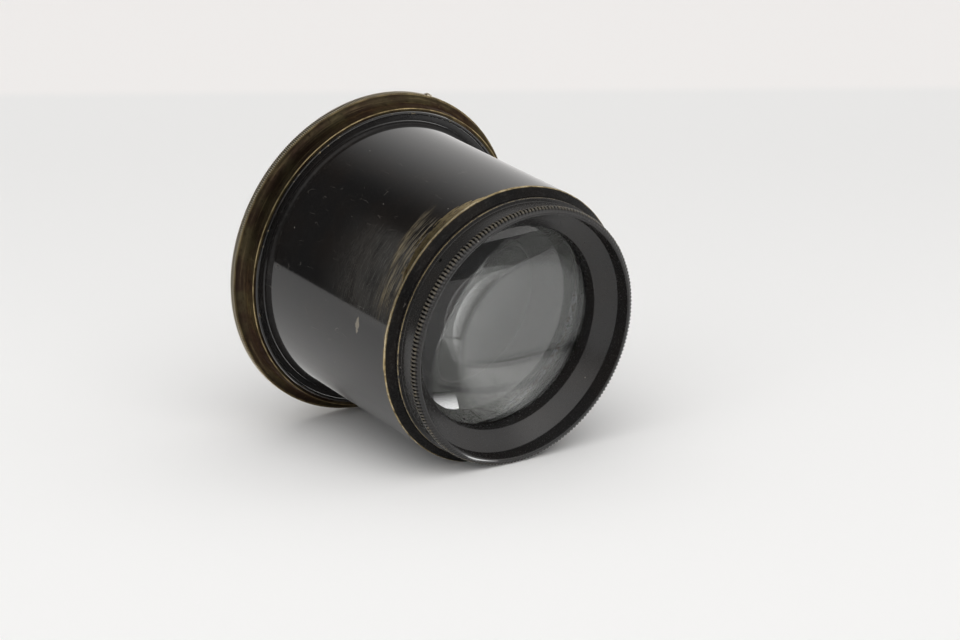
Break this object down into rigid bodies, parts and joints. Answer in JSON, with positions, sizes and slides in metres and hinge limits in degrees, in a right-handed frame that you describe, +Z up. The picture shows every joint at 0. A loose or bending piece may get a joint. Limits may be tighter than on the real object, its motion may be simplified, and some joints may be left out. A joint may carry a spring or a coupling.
{
  "type": "brass portrait lens",
  "caption": "Portrait lens: a black lacquered barrel with a milled front cell and a rear cell, screwed into an unlacquered brass mounting ring.",
  "frame": {"origin": "centre of the mounting ring's rear seat, on the optical axis", "axes": "+Y along the optical axis towards the camera, so the front of the lens looks along -Y; +Z up, with the lens on its side"},
  "size_m": [0.0676, 0.0584, 0.0676],
  "materials": {
    "bare_brass": "satin",
    "black_lacquer": "gloss",
    "blackened_brass": "matte",
    "spring_steel": "satin",
    "crown_glass": "polished",
    "flint_glass": "polished"
  },
  "bodies": {
    "mount": {"mounting_ring": "bare_brass"},
    "stop": {"stop_disc": "blackened_brass"},
    "barrel": {"barrel_tube": "black_lacquer", "rear_collar": "black_lacquer", "barrel_front_ring": "black_lacquer", "stop_seat_ring": "blackened_brass", "stop_spring_ring": "spring_steel"},
    "front_glass": {"front_crown": "crown_glass", "front_flint": "flint_glass", "front_spacer": "blackened_brass"},
    "front_cell": {"front_cell": "black_lacquer", "front_locking_ring": "blackened_brass"},
    "rear_glass": {"rear_flint": "flint_glass", "rear_crown": "crown_glass", "rear_spacer": "blackened_brass"},
    "rear_cell": {"rear_cell": "black_lacquer", "rear_locking_ring": "blackened_brass"}
  },
  "joints": [
    {"name": "barrel_travel", "type": "slide", "parent": "mount", "child": "stop", "axis": [0, -1, 0], "range_m": [0, 0.00416]},
    {"name": "barrel_turn", "type": "hinge", "parent": "stop", "child": "barrel", "pos_m": [0, 0, 0], "axis": [0, -1, 0], "range_deg": [0, 1494]},
    {"name": "front_cell_travel", "type": "slide", "parent": "barrel", "child": "front_glass", "axis": [0, -1, 0], "range_m": [0, 0.00416]},
    {"name": "front_cell_turn", "type": "hinge", "parent": "front_glass", "child": "front_cell", "pos_m": [0, -0.04625, 0], "axis": [0, -1, 0], "range_deg": [0, 1494]},
    {"name": "rear_cell_travel", "type": "slide", "parent": "barrel", "child": "rear_glass", "axis": [0, 1, 0], "range_m": [0, 0.00416]},
    {"name": "rear_cell_turn", "type": "hinge", "parent": "rear_glass", "child": "rear_cell", "pos_m": [0, -0.00105, 0], "axis": [0, 1, 0], "range_deg": [0, 1494]}
  ],
  "couplings": [
    {"joint": "barrel_travel", "follows": "barrel_turn", "m_per_rad": 0.00015915},
    {"joint": "front_cell_travel", "follows": "front_cell_turn", "m_per_rad": 0.00015915},
    {"joint": "rear_cell_travel", "follows": "rear_cell_turn", "m_per_rad": 0.00015915}
  ]
}
